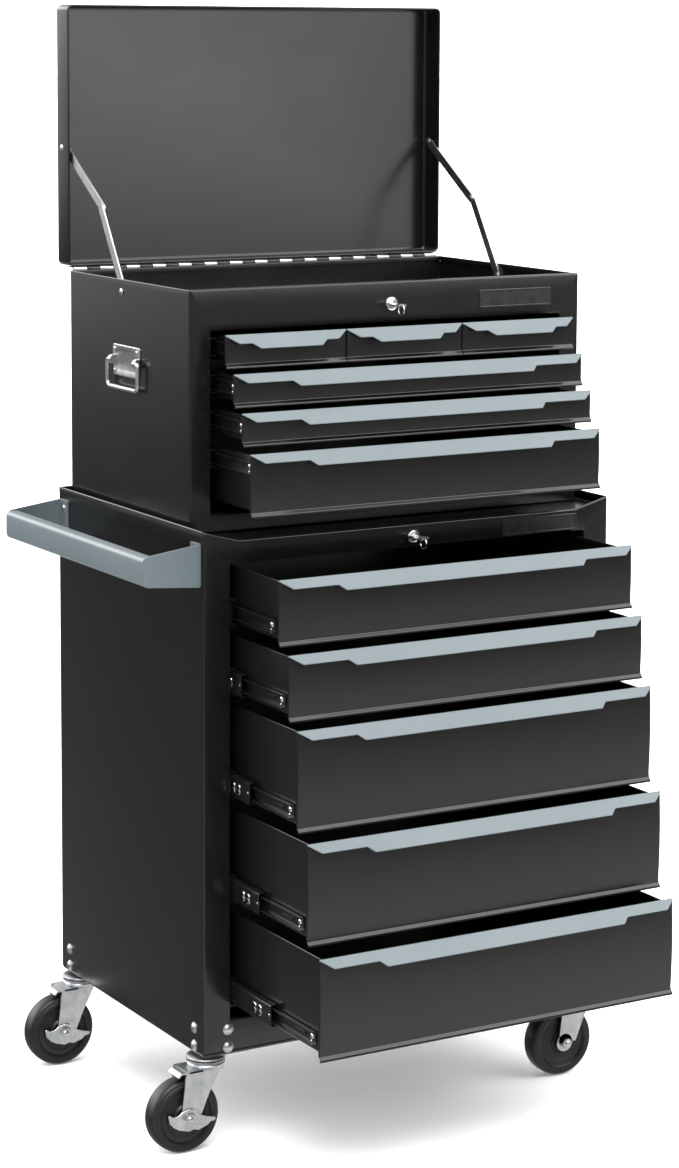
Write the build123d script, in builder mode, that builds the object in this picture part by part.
"""Rolling tool chest: a roller cabinet on four casters with a drawer chest and hinged lid on top.

Points are first given from the cabinet's centre plane, its front face and its underside,
and at() carries them to the part's own frame: the floor is Z = 0, the front faces -Y, and
the origin is the middle of the bounding box's bottom. The lid is up and the drawers are
pulled out in steps, each lower one further than the one above it.
"""
import os
from math import atan2, degrees, sqrt

from build123d import *

os.makedirs("parts", exist_ok=True)

# ---- driving dimensions, mm ----
# roller cabinet
sheet = 1.2                    # steel sheet of every panel
cabinet_width = 632.0
cabinet_depth = 440.0
cabinet_height = 700.0         # underside to the rim of the recessed top
seam_height = 12.7             # the base pan's upstand below the side panels
stile_width = 40.0
opening_bottom = 48.0
opening_top = 655.0
recess_level = 686.0           # floor of the recessed top and the lowered front rim
rim_slope_width = 53.0         # the front rim rises to the corners over this width
rear_post_setback = 80.0       # the posts that carry the slides' rear ends stand this far in

# top chest
chest_width = 608.0
chest_front = 61.0             # set back from the cabinet's front face
chest_rear = 423.4
chest_top = 1006.0
chest_stile = 31.5
chest_opening_bottom = 711.0
chest_opening_top = 951.3
till_floor = 954.0
stand_gap = 0.3                # the chest stands in the recess, free to be lifted out
chest_post_setback = 70.0

# drawers: pulled out by, top of the face, bottom of the face
cabinet_drawers = [
    (120.0, 651.0, 567.0),
    (146.0, 559.2, 475.2),
    (169.0, 467.2, 337.8),
    (195.0, 328.4, 198.4),
    (227.0, 188.8, 58.8),
]
chest_drawers = [
    (59.0, 898.8, 856.9),
    (81.7, 850.8, 809.1),
    (104.3, 800.7, 720.4),
]
small_drawer_pull = 35.5
small_drawer_top = 947.3
small_drawer_bottom = 905.3
small_drawer_count = 3
face_margin = 4.3              # a face's end to the opening's edge
small_face_gap = 1.5
cabinet_drawer_depth = 395.0
chest_drawer_depth = 325.0
lip_drop = 6.0                 # height of the flared lip under a face
lip_reach = 4.0
side_drop = 1.5                # the box sides stop below the top of the face

# drawer pulls: a strip that slopes out and down from the top of each face
pull_thickness = 2.0
pull_top = 2.2
pull_reach = 10.5
finger_reach = 17.0
pull_end_taper = 16.0
finger_end = 81.0              # the finger lip starts this far from each end
finger_slant = 9.0
small_finger_end = 34.0
small_finger_slant = 10.0
pull_bend = 0.5                # the strip's top edge stands this far out from the face
fit_gap = 0.2

# drawer slides
slide_space = 13.2             # between a post and the drawer's side
slide_outer_height = 36.0
slide_middle_height = 30.0
slide_inner_height = 18.0
slide_above_bottom = 23.0
slide_length = 395.0
slide_middle_length = 330.0
slide_lag = 124.0              # a drawer comes out this far before its middle member shows
slide_start = 22.0             # first end of the inner member behind the face
light_outer_height = 24.0
light_inner_height = 16.0
light_below_top = 17.0
light_length = 330.0
slide_flange = 10.0            # run of an outer member's flanges
middle_set_in = 2.6            # middle member's web to the outer member's web
middle_flange = 8.6
inner_flange = 7.0
slide_setback = 3.0            # outer member's end behind the front face
inner_cutback = 30.0           # an inner member is this much shorter than its drawer
light_cutback = 20.0
rivet_radius = 3.2
rivet_height = 0.9
rivet_inset = 9.0

# lid and its hinge
lid_depth = 40.0
lid_rise = 362.4               # the lid's size from the hinge to its free edge
lid_corner = 8.0
hinge_y = 427.0
hinge_z = 1007.0
knuckle_radius = 3.2
knuckle_count = 29
knuckle_gap = 0.5
leaf_width = 14.0
hinge_pin_radius = 1.5
hinge_pin_fit = 0.06
lid_gap = 4.0                  # the lid's bottom edge stands above the hinge line
hinge_end_gap = 6.0            # the chest's side to the hinge's end
leaf_gap = 0.5                 # a leaf's edge clear of the other leaf's knuckles

# lid stays: two folding links on each side
stay_chest_y = 260.5
stay_chest_z = 988.4
stay_lid_y = 447.5
stay_lid_z = 1175.0
stay_lower_length = 129.0
stay_upper_length = 141.0
stay_width = 13.0
stay_thickness = 2.0
stay_wall_gap = 1.4
stay_link_gap = 0.6
stay_pin_radius = 3.0
stay_pin_fit = 0.06
stay_head_radius = 5.5
stay_head_height = 1.8

# carrying bails on the chest's sides
bail_y = 244.0
bail_z = 896.0
bail_plate_width = 82.0
bail_plate_height = 42.0
bail_plate_thickness = 1.6
bail_lug_width = 8.0
bail_lug_height = 12.0
bail_stand_off = 7.0           # rod centre from the chest's side
bail_rod_radius = 3.0
bail_rod_fit = 0.08
bail_half_span = 46.0
bail_drop = 36.0
bail_bend = 4.5                # radius of the rod's centre line at its corners
bail_rivet_drop = 6.0          # a rivet to the plate's top or bottom edge
bail_rivet_inset = 7.0         # a rivet to the plate's end
bail_rivet_height = 1.6

# push handle on the cabinet's left side
push_reach = 84.0
push_wall_bottom = 627.0
push_wall_top = 684.0
push_grip_bottom = 634.0
push_grip_top = 673.0
push_grip_thickness = 15.0
push_front = 6.0
push_rear = 434.0
push_plate = 2.5
push_flange = 27.0
push_bend = 6.0
push_screw_radius = 4.5
push_screw_height = 2.2
push_screw_drop = 8.0          # a screw to the flange's top or bottom edge

# locks
lock_radius = 9.5
lock_collar = 3.0
plug_radius = 6.0
plug_fit = 0.08
plug_length = 16.0
barrel_wall = 1.4
lock_hole_fit = 0.1            # the barrel in the hole of the sheet
key_width = 8.4
key_hole_radius = 2.6
key_head_radius = 11.0
key_thickness = 2.2
key_reach = 20.0
ring_radius = 8.0
ring_wire = 1.0
cabinet_lock_z = 669.5
chest_lock_z = 976.0

# casters
caster_height = 129.0
caster_inset = 17.0            # swivel axis to the cabinet's side
caster_front = 27.0            # swivel axis to the cabinet's front or rear face
caster_trail = 36.0
wheel_radius = 50.0
wheel_width = 28.0
wheel_shoulder = 4.0
wheel_web = 3.0
hub_radius = 16.0
rim_radius = 38.0
axle_radius = 5.0
axle_fit = 0.07
head_radius = 26.0
head_height = 11.0
cup_height = 3.0
mount_plate = 3.0
mount_plate_length = 74.0
mount_plate_width = 60.0
king_pin_radius = 6.0
king_pin_fit = 0.08
leg_thickness = 2.6
leg_gap = 2.6
leg_end_radius = 11.0
leg_inset = 6.0                # a leg's top corner inside the head's rim
leg_heel = 10.0                # height of the straight edge above the axle
axle_head_radius = 7.5
axle_head_height = 4.0
brake_thickness = 2.0
brake_gap = 0.5
brake_half_length = 32.0       # half sizes of the plate's oval outline
brake_half_height = 17.0
brake_shift = 4.0              # oval's centre ahead of the axle
brake_cut = 12.0               # the oval is cut flat this far above the axle
toe_radius = 5.0
toe_pitch = 18.0
toe_drop = 16.0                # middle toe below the axle
toe_rise = 2.0                 # outer toes above the middle one
brake_boss = 8.0               # plate's round boss outside the axle
bolt_radius = 6.0
bolt_height = 3.4
bolt_rise = 24.0               # between the two bolts of a pair
bolt_level = 11.0
bolt_inset = 36.0

# ---- sizes worked out from the driving ones ----
lock_hole = plug_radius + barrel_wall + lock_hole_fit
half_width = cabinet_width / 2
opening_half = half_width - stile_width
chest_half = chest_width / 2
chest_opening_half = chest_half - chest_stile
chest_bottom = recess_level + stand_gap
lid_bottom = hinge_z + lid_gap
lid_rear = hinge_y + lid_depth
cabinet_x = (push_reach + caster_inset - head_radius) / 2
front_y = (cabinet_drawers[-1][0] + finger_reach - lid_rear) / 2


def at(x, y, z):
    """The frame's point for one measured from the cabinet's centre, front face and underside."""
    return (cabinet_x + x, front_y + y, caster_height + z)


def slab(x_range, y_range, z_range, mode=Mode.ADD):
    """A block between two values on each axis, inside the part that is being built."""
    spans = [sorted(span) for span in (x_range, y_range, z_range)]
    sizes = [high - low for low, high in spans]
    with Locations(at(*[low for low, high in spans])):
        Box(*sizes, align=(Align.MIN, Align.MIN, Align.MIN), mode=mode)


def rod(start, end, radius, mode=Mode.ADD):
    """A round bar from one point to another."""
    base = Vector(*at(*start))
    path = Vector(*at(*end)) - base
    with BuildSketch(Plane(origin=base, z_dir=path.normalized())) as section:
        Circle(radius)
    extrude(section.sketch, amount=path.length, mode=mode)


def across(x):
    """A plane that faces +X at x: its sketches are drawn in Y and Z from the cabinet's datum."""
    return Plane(origin=at(x, 0, 0), x_dir=(0, 1, 0), z_dir=(1, 0, 0))


def facing(y):
    """A plane that faces -Y at y: its sketches are drawn in X and Z from the cabinet's datum."""
    return Plane(origin=at(0, y, 0), x_dir=(1, 0, 0), z_dir=(0, -1, 0))


def write(piece, name):
    """Label a finished piece and write it as one STEP file."""
    piece.part.label = name
    export_step(piece.part, f"parts/{name}.step")


# ---- roller cabinet ----
with BuildPart() as cabinet_shell:
    for side in (-1, 1):
        outer = side * half_width
        slab((outer, outer - side * sheet), (sheet, cabinet_depth), (seam_height, cabinet_height))
    slab(
        (-half_width, half_width),
        (cabinet_depth - sheet, cabinet_depth),
        (seam_height, cabinet_height),
    )
write(cabinet_shell, "cabinet_shell")

with BuildPart() as cabinet_base:
    slab((-half_width, half_width), (0, cabinet_depth), (0, seam_height))
    slab(
        (-half_width + sheet, half_width - sheet),
        (sheet, cabinet_depth - sheet),
        (sheet, seam_height),
        Mode.SUBTRACT,
    )
write(cabinet_base, "cabinet_base")

flange_depth = 26.0
rim_run = half_width - rim_slope_width
with BuildPart() as cabinet_front_frame:
    with BuildSketch(facing(sheet)):
        with BuildLine():
            Polyline(
                (-half_width, seam_height),
                (half_width, seam_height),
                (half_width, cabinet_height),
                (rim_run, recess_level),
                (-rim_run, recess_level),
                (-half_width, cabinet_height),
                close=True,
            )
        make_face()
    extrude(amount=sheet)
    slab(
        (-opening_half - sheet, opening_half + sheet),
        (sheet, flange_depth),
        (opening_bottom - sheet, opening_top + sheet),
    )
    slab(
        (-opening_half, opening_half),
        (-1, flange_depth + 1),
        (opening_bottom, opening_top),
        Mode.SUBTRACT,
    )
    rod((0, -1, cabinet_lock_z), (0, sheet + 1, cabinet_lock_z), lock_hole, Mode.SUBTRACT)
write(cabinet_front_frame, "cabinet_front_frame")

with BuildPart() as cabinet_top_tray:
    slab(
        (-half_width + sheet, half_width - sheet),
        (sheet, cabinet_depth - sheet),
        (recess_level - sheet, recess_level),
    )
write(cabinet_top_tray, "cabinet_top_tray")


def slide_channel(side, web, height, centre_z, start_y, length, reach):
    """One C-shaped slide member: web is its web's far face from the centre plane, and reach
    is its flanges' signed run from there, negative toward the centre."""
    low = centre_z - height / 2
    high = centre_z + height / 2
    turn = 1 if reach > 0 else -1
    span = (start_y, start_y + length)
    slab((side * web, side * (web + turn * sheet)), span, (low, high))
    slab((side * web, side * (web + reach)), span, (low, low + sheet))
    slab((side * web, side * (web + reach)), span, (high - sheet, high))


outer_web = opening_half - fit_gap
rear_post = cabinet_depth - rear_post_setback
with BuildPart() as cabinet_rails:
    for side in (-1, 1):
        for out, top, bottom in cabinet_drawers:
            level = bottom + slide_above_bottom
            slide_channel(
                side, outer_web, slide_outer_height, level, slide_setback, slide_length, -slide_flange
            )
        slab(
            (side * opening_half, side * (opening_half + sheet)),
            (rear_post, cabinet_depth - 2 * sheet),
            (seam_height + 2, opening_top),
        )
        slab(
            (side * opening_half, side * (half_width - 2 * sheet)),
            (rear_post, rear_post + sheet),
            (seam_height + 2, opening_top),
        )
write(cabinet_rails, "cabinet_rails")


def lock_body(front, level):
    """A lock's housing with its round collar: a hollow barrel through the sheet."""
    rod((0, front - lock_collar, level), (0, front, level), lock_radius)
    rod((0, front - lock_collar, level), (0, front + plug_length + 2, level), plug_radius + barrel_wall)
    bore_start = (0, front - lock_collar - 1, level)
    bore_end = (0, front + plug_length + 3, level)
    rod(bore_start, bore_end, plug_radius + plug_fit, Mode.SUBTRACT)


def lock_key(front, level):
    """The plug with its key in it, and the ring that hangs from the key."""
    face = front - lock_collar
    rod((0, face, level), (0, front + plug_length, level), plug_radius)
    low = level - key_thickness / 2
    slab((-key_width / 2, key_width / 2), (face - key_reach / 2, face), (low, low + key_thickness))
    with BuildSketch(Plane(origin=at(0, face - key_reach + 2, low), z_dir=(0, 0, 1))) as bow:
        Circle(key_head_radius)
        with Locations((0, -key_head_radius + 4)):
            Circle(key_hole_radius, mode=Mode.SUBTRACT)
    extrude(bow.sketch, amount=key_thickness)


def key_ring(front, level):
    """The wire ring through the key's hole."""
    hole = front - lock_collar - key_reach + 2 - key_head_radius + 4
    with BuildSketch(Plane(origin=at(0, hole, level), x_dir=(0, 1, 0), z_dir=(1, 0, 0))) as loop:
        with Locations((0, -ring_radius + ring_wire)):
            Circle(ring_radius)
            Circle(ring_radius - 2 * ring_wire, mode=Mode.SUBTRACT)
    extrude(loop.sketch, amount=ring_wire, both=True)


with BuildPart() as cabinet_lock:
    lock_body(0, cabinet_lock_z)
write(cabinet_lock, "cabinet_lock")

with BuildPart() as cabinet_key:
    lock_key(0, cabinet_lock_z)
    key_ring(0, cabinet_lock_z)
write(cabinet_key, "cabinet_key")

with BuildPart() as push_handle:
    wall = -half_width
    grip_outer = wall - push_reach
    grip_inner = grip_outer + push_grip_thickness
    with BuildSketch(facing(push_rear)):
        with BuildLine():
            Polyline(
                (grip_outer, push_grip_bottom),
                (grip_inner, push_grip_bottom),
                (grip_inner, push_grip_top),
                (grip_outer, push_grip_top),
                close=True,
            )
        make_face()
        fillet(vertices().group_by(Axis.X)[0], push_bend)
    extrude(amount=push_rear - push_front)
    slab(
        (grip_outer + push_plate, grip_inner + 1),
        (push_front - 1, push_rear + 1),
        (push_grip_bottom + push_plate, push_grip_top - push_plate),
        Mode.SUBTRACT,
    )
    for y, inward in ((push_front, 1), (push_rear, -1)):
        with BuildSketch(facing(y)):
            with BuildLine():
                Polyline(
                    (wall, push_wall_bottom),
                    (grip_outer + push_bend, push_grip_bottom),
                    (grip_outer, push_grip_bottom + push_bend),
                    (grip_outer, push_grip_top - push_bend),
                    (grip_outer + push_bend, push_grip_top),
                    (wall, push_wall_top),
                    close=True,
                )
            make_face()
        extrude(amount=-inward * push_plate)
        flange = (y, y + inward * push_flange)
        slab((wall, wall - push_plate), flange, (push_wall_bottom, push_wall_top))
        face = wall - push_plate
        middle = y + inward * (push_flange / 2 + 2)
        for z in (push_wall_bottom + push_screw_drop, push_wall_top - push_screw_drop):
            rod((face, middle, z), (face - push_screw_height, middle, z), push_screw_radius)
write(push_handle, "push_handle")

# ---- casters ----
caster_places = {
    "front_left": (-1, caster_front, True),
    "front_right": (1, caster_front, False),
    "rear_left": (-1, cabinet_depth - caster_front, True),
    "rear_right": (1, cabinet_depth - caster_front, False),
}
cup_bottom = -mount_plate - cup_height
with BuildPart() as caster_mounts:
    for side, y, braked in caster_places.values():
        x = side * (half_width - caster_inset)
        front_face = y < cabinet_depth / 2
        face_y = 0 if front_face else cabinet_depth
        inward = 1 if front_face else -1
        outer_y = face_y + inward * 2
        inner_y = face_y + inward * mount_plate_width
        edge = side * (half_width - 2)
        slab((edge, edge - side * mount_plate_length), (outer_y, inner_y), (-mount_plate, 0))
        rod((x, y, -mount_plate), (x, y, cup_bottom), head_radius - 2)
        rod((x, y, cup_bottom), (x, y, cup_bottom - head_height - 2), king_pin_radius)
        away = -inward * bolt_height
        for z in (bolt_level, bolt_level + bolt_rise):
            side_x = side * half_width
            rod((side_x, y, z), (side_x + side * bolt_height, y, z), bolt_radius)
            end_x = side * (half_width - bolt_inset)
            rod((end_x, face_y, z), (end_x, face_y + away, z), bolt_radius)
write(caster_mounts, "caster_mounts")

axle_z = -caster_height + wheel_radius
leg_inner = wheel_width / 2 + leg_gap
head_top = cup_bottom - stand_gap
head_bottom = head_top - head_height
for name, (side, y, braked) in caster_places.items():
    x = side * (half_width - caster_inset)
    axle_x = x - caster_trail
    leg_top = head_radius - leg_inset
    with BuildPart() as fork:
        rod((x, y, head_top), (x, y, head_bottom), head_radius)
        for turn in (-1, 1):
            with BuildSketch(facing(y + turn * leg_inner)):
                with BuildLine():
                    Polyline(
                        (x - leg_top, head_bottom + 1),
                        (x + leg_top, head_bottom + 1),
                        (axle_x + leg_end_radius, axle_z - 2),
                        (axle_x - leg_end_radius, axle_z - 2),
                        (axle_x - leg_end_radius, axle_z + leg_heel),
                        close=True,
                    )
                make_face()
                with Locations((axle_x, axle_z)):
                    Circle(leg_end_radius)
            extrude(amount=-turn * leg_thickness)
        crown = leg_inner + leg_thickness
        slab((x - leg_top, x + leg_top), (y - crown, y + crown), (head_bottom - 2, head_bottom + 1))
        king_pin_bore = king_pin_radius + king_pin_fit
        rod((x, y, head_top + 1), (x, y, head_bottom - 3), king_pin_bore, Mode.SUBTRACT)
        outer_end = y - leg_inner - leg_thickness - brake_thickness - 2 * brake_gap
        inner_end = y + leg_inner
        rod((axle_x, outer_end, axle_z), (axle_x, inner_end, axle_z), axle_radius)
        nut_end = outer_end - axle_head_height
        rod((axle_x, nut_end, axle_z), (axle_x, outer_end, axle_z), axle_head_radius)
        head_end = y + crown + axle_head_height
        rod((axle_x, inner_end, axle_z), (axle_x, head_end, axle_z), axle_head_radius)
    write(fork, f"caster_fork_{name}")

    with BuildPart() as wheel:
        with BuildSketch(Plane(origin=at(axle_x, y, axle_z), x_dir=(1, 0, 0), z_dir=(0, 0, 1))):
            with BuildLine():
                half = wheel_width / 2
                bore = axle_radius + axle_fit
                Polyline(
                    (bore, -half),
                    (hub_radius, -half),
                    (hub_radius + 2, -half + wheel_web),
                    (rim_radius - 2, -half + wheel_web),
                    (rim_radius, -half),
                    (wheel_radius - wheel_shoulder, -half),
                    (wheel_radius, -half + wheel_shoulder),
                    (wheel_radius, half - wheel_shoulder),
                    (wheel_radius - wheel_shoulder, half),
                    (rim_radius, half),
                    (rim_radius - 2, half - wheel_web),
                    (hub_radius + 2, half - wheel_web),
                    (hub_radius, half),
                    (bore, half),
                    close=True,
                )
            make_face()
        revolve(axis=Axis(at(axle_x, y, axle_z), (0, 1, 0)))
    write(wheel, f"caster_wheel_{name}")

    if braked:
        plate_y = y - leg_inner - leg_thickness - brake_gap
        with BuildPart() as brake:
            with BuildSketch(facing(plate_y)):
                middle = axle_x + brake_shift
                with Locations((middle, axle_z + 2)):
                    Ellipse(brake_half_length, brake_half_height)
                with Locations((middle, axle_z + brake_cut)):
                    Rectangle(
                        3 * brake_half_length,
                        brake_half_height,
                        align=(Align.CENTER, Align.MIN),
                        mode=Mode.SUBTRACT,
                    )
                for toe in (-1, 0, 1):
                    toe_z = axle_z - toe_drop + abs(toe) * toe_rise
                    with Locations((middle + toe * toe_pitch, toe_z)):
                        Circle(toe_radius)
                with Locations((axle_x, axle_z)):
                    Circle(axle_radius + brake_boss)
                    Circle(axle_radius + axle_fit, mode=Mode.SUBTRACT)
            extrude(amount=brake_thickness)
        write(brake, f"caster_brake_{name}")

# ---- top chest ----
with BuildPart() as chest_shell:
    for side in (-1, 1):
        outer = side * chest_half
        slab(
            (outer, outer - side * sheet),
            (chest_front + sheet, chest_rear),
            (chest_bottom, chest_top),
        )
    slab((-chest_half, chest_half), (chest_rear - sheet, chest_rear), (chest_bottom, chest_top))
    slab(
        (-chest_half, chest_half),
        (chest_front + sheet, chest_rear),
        (chest_bottom, chest_bottom + sheet),
    )
    for side in (-1, 1):
        wall = side * chest_half
        rod(
            (wall + side, stay_chest_y, stay_chest_z),
            (wall - side * 3, stay_chest_y, stay_chest_z),
            stay_pin_radius + stay_pin_fit,
            Mode.SUBTRACT,
        )
write(chest_shell, "chest_shell")

with BuildPart() as chest_front_frame:
    slab((-chest_half, chest_half), (chest_front, chest_front + sheet), (chest_bottom, chest_top))
    slab(
        (-chest_opening_half - sheet, chest_opening_half + sheet),
        (chest_front + sheet, chest_front + flange_depth),
        (chest_opening_bottom - sheet, chest_opening_top + sheet),
    )
    slab(
        (-chest_opening_half, chest_opening_half),
        (chest_front - 1, chest_front + flange_depth + 1),
        (chest_opening_bottom, chest_opening_top),
        Mode.SUBTRACT,
    )
    hole_end = (0, chest_front + 2, chest_lock_z)
    rod((0, chest_front - 1, chest_lock_z), hole_end, lock_hole, Mode.SUBTRACT)
write(chest_front_frame, "chest_front_frame")

with BuildPart() as chest_till:
    slab(
        (-chest_half + sheet, chest_half - sheet),
        (chest_front + sheet, chest_rear - sheet),
        (till_floor - sheet, till_floor),
    )
write(chest_till, "chest_till")

# small drawers stand side by side in the top row, with a partition between each pair
row_half = chest_opening_half - face_margin / 2
small_face = (2 * row_half - (small_drawer_count - 1) * small_face_gap) / small_drawer_count
small_centres = [(i - 1) * (small_face + small_face_gap) for i in range(small_drawer_count)]
small_level = small_drawer_top - light_below_top
small_box_half = (small_face + small_face_gap) / 2 - slide_space - sheet / 2

with BuildPart() as chest_rails:
    web = chest_opening_half - fit_gap
    start = chest_front + slide_setback
    levels = [small_level] + [top - light_below_top for out, top, bottom in chest_drawers]
    for side in (-1, 1):
        for level in levels:
            slide_channel(side, web, light_outer_height, level, start, light_length, -slide_flange)
        slab(
            (side * chest_opening_half, side * (chest_opening_half + sheet)),
            (chest_rear - chest_post_setback, chest_rear - 2 * sheet),
            (chest_opening_bottom, chest_opening_top),
        )
        partition = side * (small_face + small_face_gap) / 2
        slab(
            (partition - sheet / 2, partition + sheet / 2),
            (chest_front + flange_depth + 2, chest_rear - 2 * sheet),
            (small_drawer_bottom, till_floor - 2 * sheet),
        )
        for turn in (-1, 1):
            near = abs(partition) + turn * (sheet / 2 + fit_gap)
            slide_channel(
                side,
                near,
                light_outer_height,
                small_level,
                start + flange_depth,
                light_length - flange_depth,
                turn * slide_flange,
            )
write(chest_rails, "chest_rails")

with BuildPart() as chest_lock:
    lock_body(chest_front, chest_lock_z)
write(chest_lock, "chest_lock")

with BuildPart() as chest_key:
    lock_key(chest_front, chest_lock_z)
    key_ring(chest_front, chest_lock_z)
write(chest_key, "chest_key")

# ---- carrying bails ----
with BuildPart() as bail_plates:
    for side in (-1, 1):
        wall = side * (chest_half + fit_gap)
        slab(
            (wall, wall + side * bail_plate_thickness),
            (bail_y - bail_plate_width / 2, bail_y + bail_plate_width / 2),
            (bail_z - bail_plate_height / 2, bail_z + bail_plate_height / 2),
        )
        pivot_x = side * (chest_half + bail_stand_off)
        for end in (-1, 1):
            lug_end = bail_y + end * bail_plate_width / 2
            slab(
                (wall, pivot_x),
                (lug_end, lug_end - end * bail_lug_width),
                (bail_z - bail_lug_height / 2, bail_z + bail_lug_height / 2),
            )
            rod(
                (pivot_x, lug_end, bail_z),
                (pivot_x, lug_end - end * bail_lug_width, bail_z),
                bail_lug_height / 2,
            )
            rod(
                (pivot_x, lug_end + end, bail_z),
                (pivot_x, lug_end - end * (bail_lug_width + 1), bail_z),
                bail_rod_radius + bail_rod_fit,
                Mode.SUBTRACT,
            )
            rivet_y = bail_y + end * (bail_plate_width / 2 - bail_rivet_inset)
            start = wall + side * bail_plate_thickness
            for step in (-1, 1):
                z = bail_z + step * (bail_plate_height / 2 - bail_rivet_drop)
                rod((start, rivet_y, z), (start + side * bail_rivet_height, rivet_y, z), rivet_radius)
write(bail_plates, "bail_plates")

for name, side in (("left", -1), ("right", 1)):
    pivot_x = side * (chest_half + bail_stand_off)
    stub = bail_plate_width / 2 - bail_lug_width
    with BuildPart() as bail:
        with BuildLine(across(pivot_x)) as path:
            FilletPolyline(
                (bail_y - stub, bail_z),
                (bail_y - bail_half_span, bail_z),
                (bail_y - bail_half_span, bail_z - bail_drop),
                (bail_y + bail_half_span, bail_z - bail_drop),
                (bail_y + bail_half_span, bail_z),
                (bail_y + stub, bail_z),
                radius=bail_bend,
            )
        with BuildSketch(Plane(origin=path.line @ 0, z_dir=path.line % 0)):
            Circle(bail_rod_radius)
        sweep()
    write(bail, f"carry_bail_{name}")

# ---- hinge and lid ----
pitch = (chest_width - 2 * hinge_end_gap) / knuckle_count
leaf_half = knuckle_count * pitch / 2
leaf_clear = knuckle_radius + leaf_gap


def knuckles(first):
    """Every second knuckle of the hinge, starting with the first or the second one."""
    for i in range(first, knuckle_count, 2):
        low = -leaf_half + i * pitch + knuckle_gap / 2
        rod((low, hinge_y, hinge_z), (low + pitch - knuckle_gap, hinge_y, hinge_z), knuckle_radius)
        yield low, low + pitch - knuckle_gap


with BuildPart() as hinge_leaf_chest:
    near = hinge_y - knuckle_radius
    leaf_top = hinge_z - leaf_clear
    slab((-leaf_half, leaf_half), (near, near + sheet), (leaf_top - leaf_width, leaf_top))
    for low, high in knuckles(0):
        slab((low, high), (near, near + sheet), (hinge_z - leaf_clear, hinge_z))
    rod((-leaf_half, hinge_y, hinge_z), (leaf_half, hinge_y, hinge_z), hinge_pin_radius)
write(hinge_leaf_chest, "hinge_leaf_chest")

with BuildPart() as lid:
    with Locations(at(0, lid_rear, lid_bottom)):
        Box(chest_width, lid_depth, lid_rise, align=(Align.CENTER, Align.MAX, Align.MIN))
    fillet(edges().filter_by(Axis.Y), lid_corner)
    fillet(faces().sort_by(Axis.Y)[-1].edges(), lid_corner)
    offset(amount=-sheet, openings=faces().sort_by(Axis.Y)[0])
    for side in (-1, 1):
        wall = side * chest_half
        rod(
            (wall + side, stay_lid_y, stay_lid_z),
            (wall - side * 3, stay_lid_y, stay_lid_z),
            stay_pin_radius + stay_pin_fit,
            Mode.SUBTRACT,
        )
write(lid, "lid")

with BuildPart() as hinge_leaf_lid:
    upper = hinge_z + knuckle_radius
    leaf_front = hinge_y + leaf_clear
    slab((-leaf_half, leaf_half), (leaf_front, leaf_front + leaf_width), (upper - sheet, upper))
    for low, high in knuckles(1):
        slab((low, high), (hinge_y, leaf_front), (upper - sheet, upper))
    rod(
        (-leaf_half - 1, hinge_y, hinge_z),
        (leaf_half + 1, hinge_y, hinge_z),
        hinge_pin_radius + hinge_pin_fit,
        Mode.SUBTRACT,
    )
write(hinge_leaf_lid, "hinge_leaf_lid")

# ---- lid stays: the elbow lies where circles about the two fixed pivots meet ----
span_y = stay_lid_y - stay_chest_y
span_z = stay_lid_z - stay_chest_z
span = sqrt(span_y**2 + span_z**2)
along = (stay_lower_length**2 - stay_upper_length**2 + span**2) / (2 * span)
rise = sqrt(stay_lower_length**2 - along**2)
elbow_y = stay_chest_y + (along * span_y - rise * span_z) / span
elbow_z = stay_chest_z + (along * span_z + rise * span_y) / span


def stay_links(start, end, outer, pivot):
    """The left and right links between two points, with the pivot's rivet through the wall."""
    run_y = end[0] - start[0]
    run_z = end[1] - start[1]
    for side in (-1, 1):
        with BuildSketch(across(side * outer)) as link:
            middle = ((start[0] + end[0]) / 2, (start[1] + end[1]) / 2)
            with Locations(Location((*middle, 0), (0, 0, degrees(atan2(run_z, run_y))))):
                SlotCenterToCenter(sqrt(run_y**2 + run_z**2), stay_width)
        extrude(link.sketch, amount=-side * stay_thickness)
        inner = side * (outer - stay_thickness)
        rod((inner, *pivot), (side * (chest_half + stand_gap), *pivot), stay_pin_radius)
        head = side * (chest_half + stand_gap)
        rod((head, *pivot), (head + side * stay_head_height, *pivot), stay_head_radius)


lower_outer = chest_half - sheet - stay_wall_gap
upper_outer = lower_outer - stay_thickness - stay_link_gap
chest_pivot = (stay_chest_y, stay_chest_z)
lid_pivot = (stay_lid_y, stay_lid_z)
elbow = (elbow_y, elbow_z)
with BuildPart() as stays_lower:
    stay_links(chest_pivot, elbow, lower_outer, chest_pivot)
write(stays_lower, "stays_lower")

with BuildPart() as stays_upper:
    stay_links(elbow, lid_pivot, upper_outer, lid_pivot)
    for side in (-1, 1):
        inner = side * (upper_outer - stay_thickness)
        rod((inner, *elbow), (inner - side * stay_head_height, *elbow), stay_head_radius)
write(stays_upper, "stays_upper")


# ---- drawers ----
def drawer_tray(centre, front, top, bottom, face_half, box_half, depth):
    """A drawer folded from sheet: the face with its flared lip, and the open box behind it."""
    lip = (
        (front, top),
        (front, bottom + lip_drop),
        (front - lip_reach, bottom + lip_drop / 2),
        (front - lip_reach, bottom),
        (front - lip_reach + sheet, bottom),
        (front - lip_reach + sheet, bottom + lip_drop / 2 - sheet / 2),
        (front + sheet, bottom + lip_drop - sheet / 2),
        (front + sheet, top),
    )
    with BuildSketch(across(centre - face_half)) as fold:
        with BuildLine():
            Polyline(*lip, close=True)
        make_face()
    extrude(fold.sketch, amount=2 * face_half)
    floor = bottom + lip_drop
    rear = front + depth
    slab((centre - box_half, centre + box_half), (front + sheet, rear), (floor, top - side_drop))
    slab(
        (centre - box_half + sheet, centre + box_half - sheet),
        (front + sheet, rear - sheet),
        (floor + sheet, top),
        Mode.SUBTRACT,
    )


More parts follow.
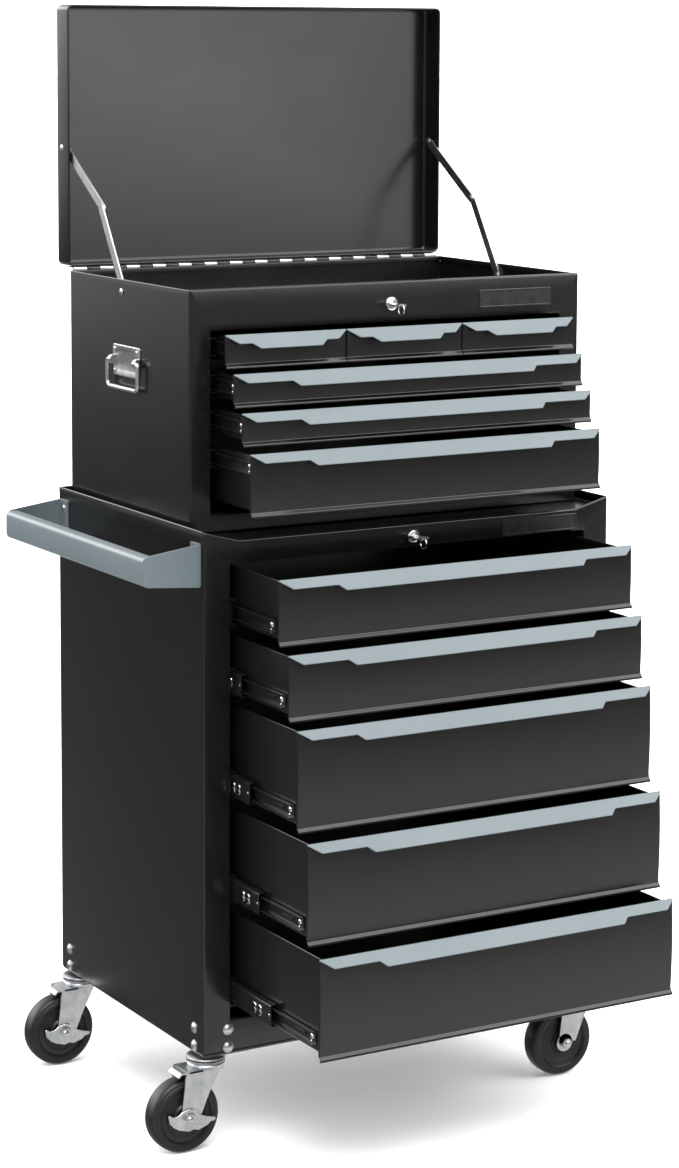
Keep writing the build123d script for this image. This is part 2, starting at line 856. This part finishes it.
def drawer_pull(name, centre, front, top, face_half, lip_end, lip_slant):
    """A pull strip that leans out at 45 degrees from the top of a face, with a finger lip."""
    lean = pull_thickness / sqrt(2)
    fall = pull_top - finger_reach + pull_bend
    profile = (
        (front + sheet, top + pull_top),
        (front - pull_bend, top + pull_top),
        (front - finger_reach, top + fall),
        (front - finger_reach + lean, top + fall - lean),
        (front - fit_gap, top + pull_top + pull_bend - 2 * lean - fit_gap),
        (front - fit_gap, top + fit_gap),
        (front + sheet, top + fit_gap),
    )
    with BuildPart() as pull:
        with BuildSketch(across(centre - face_half)):
            with BuildLine():
                Polyline(*profile, close=True)
            make_face()
        extrude(amount=2 * face_half)
        with BuildSketch(Plane(origin=at(centre, front, top), z_dir=(0, 0, 1))):
            with BuildLine():
                Polyline(
                    (-face_half, pull_reach),
                    (-face_half, 0),
                    (-face_half + pull_end_taper, -pull_reach),
                    (-face_half + lip_end, -pull_reach),
                    (-face_half + lip_end + lip_slant, -finger_reach),
                    (face_half - lip_end - lip_slant, -finger_reach),
                    (face_half - lip_end, -pull_reach),
                    (face_half - pull_end_taper, -pull_reach),
                    (face_half, 0),
                    (face_half, pull_reach),
                    close=True,
                )
            make_face()
        extrude(amount=2 * finger_reach, both=True, mode=Mode.INTERSECT)
    write(pull, name)


def inner_slides(centre, box_half, level, height, start, length):
    """The slide members and rivets that ride on the two sides of a drawer."""
    for side in (-1, 1):
        wall = centre + side * (box_half + fit_gap)
        low = level - height / 2
        high = level + height / 2
        span = (start, start + length)
        slab((wall, wall + side * sheet), span, (low, high))
        slab((wall, wall + side * inner_flange), span, (low, low + sheet))
        slab((wall, wall + side * inner_flange), span, (high - sheet, high))
        face = wall + side * sheet
        rivet_y = start + rivet_inset
        rod((face, rivet_y, level), (face + side * rivet_height, rivet_y, level), rivet_radius)


face_half = opening_half - face_margin
box_half = opening_half - slide_space
inner_length = cabinet_drawer_depth - inner_cutback
for number, (out, top, bottom) in enumerate(cabinet_drawers, start=1):
    level = bottom + slide_above_bottom
    with BuildPart() as drawer:
        drawer_tray(0, -out, top, bottom, face_half, box_half, cabinet_drawer_depth)
        inner_slides(0, box_half, level, slide_inner_height, slide_start - out, inner_length)
    write(drawer, f"cabinet_drawer_{number}")
    drawer_pull(f"cabinet_drawer_pull_{number}", 0, -out, top, face_half, finger_end, finger_slant)
    with BuildPart() as slide_middle:
        for side in (-1, 1):
            slide_channel(
                side,
                outer_web - middle_set_in,
                slide_middle_height,
                level,
                slide_lag - out,
                slide_middle_length,
                -middle_flange,
            )
    write(slide_middle, f"slide_middle_{number}")

face_half = chest_opening_half - face_margin / 2
box_half = chest_opening_half - slide_space
inner_length = chest_drawer_depth - light_cutback
for number, (out, top, bottom) in enumerate(chest_drawers, start=2):
    level = top - light_below_top
    front = chest_front - out
    with BuildPart() as drawer:
        drawer_tray(0, front, top, bottom, face_half, box_half, chest_drawer_depth)
        inner_slides(0, box_half, level, light_inner_height, front + slide_start / 2, inner_length)
    write(drawer, f"chest_drawer_{number}")
    drawer_pull(f"chest_drawer_pull_{number}", 0, front, top, face_half, finger_end, finger_slant)

for name, centre in zip(("left", "middle", "right"), small_centres):
    front = chest_front - small_drawer_pull
    with BuildPart() as drawer:
        drawer_tray(
            centre,
            front,
            small_drawer_top,
            small_drawer_bottom,
            small_face / 2,
            small_box_half,
            chest_drawer_depth,
        )
        inner_slides(
            centre,
            small_box_half,
            small_level,
            light_inner_height,
            front + slide_start / 2,
            inner_length,
        )
    write(drawer, f"small_drawer_{name}")
    drawer_pull(
        f"small_drawer_pull_{name}",
        centre,
        front,
        small_drawer_top,
        small_face / 2,
        small_finger_end,
        small_finger_slant,
    )
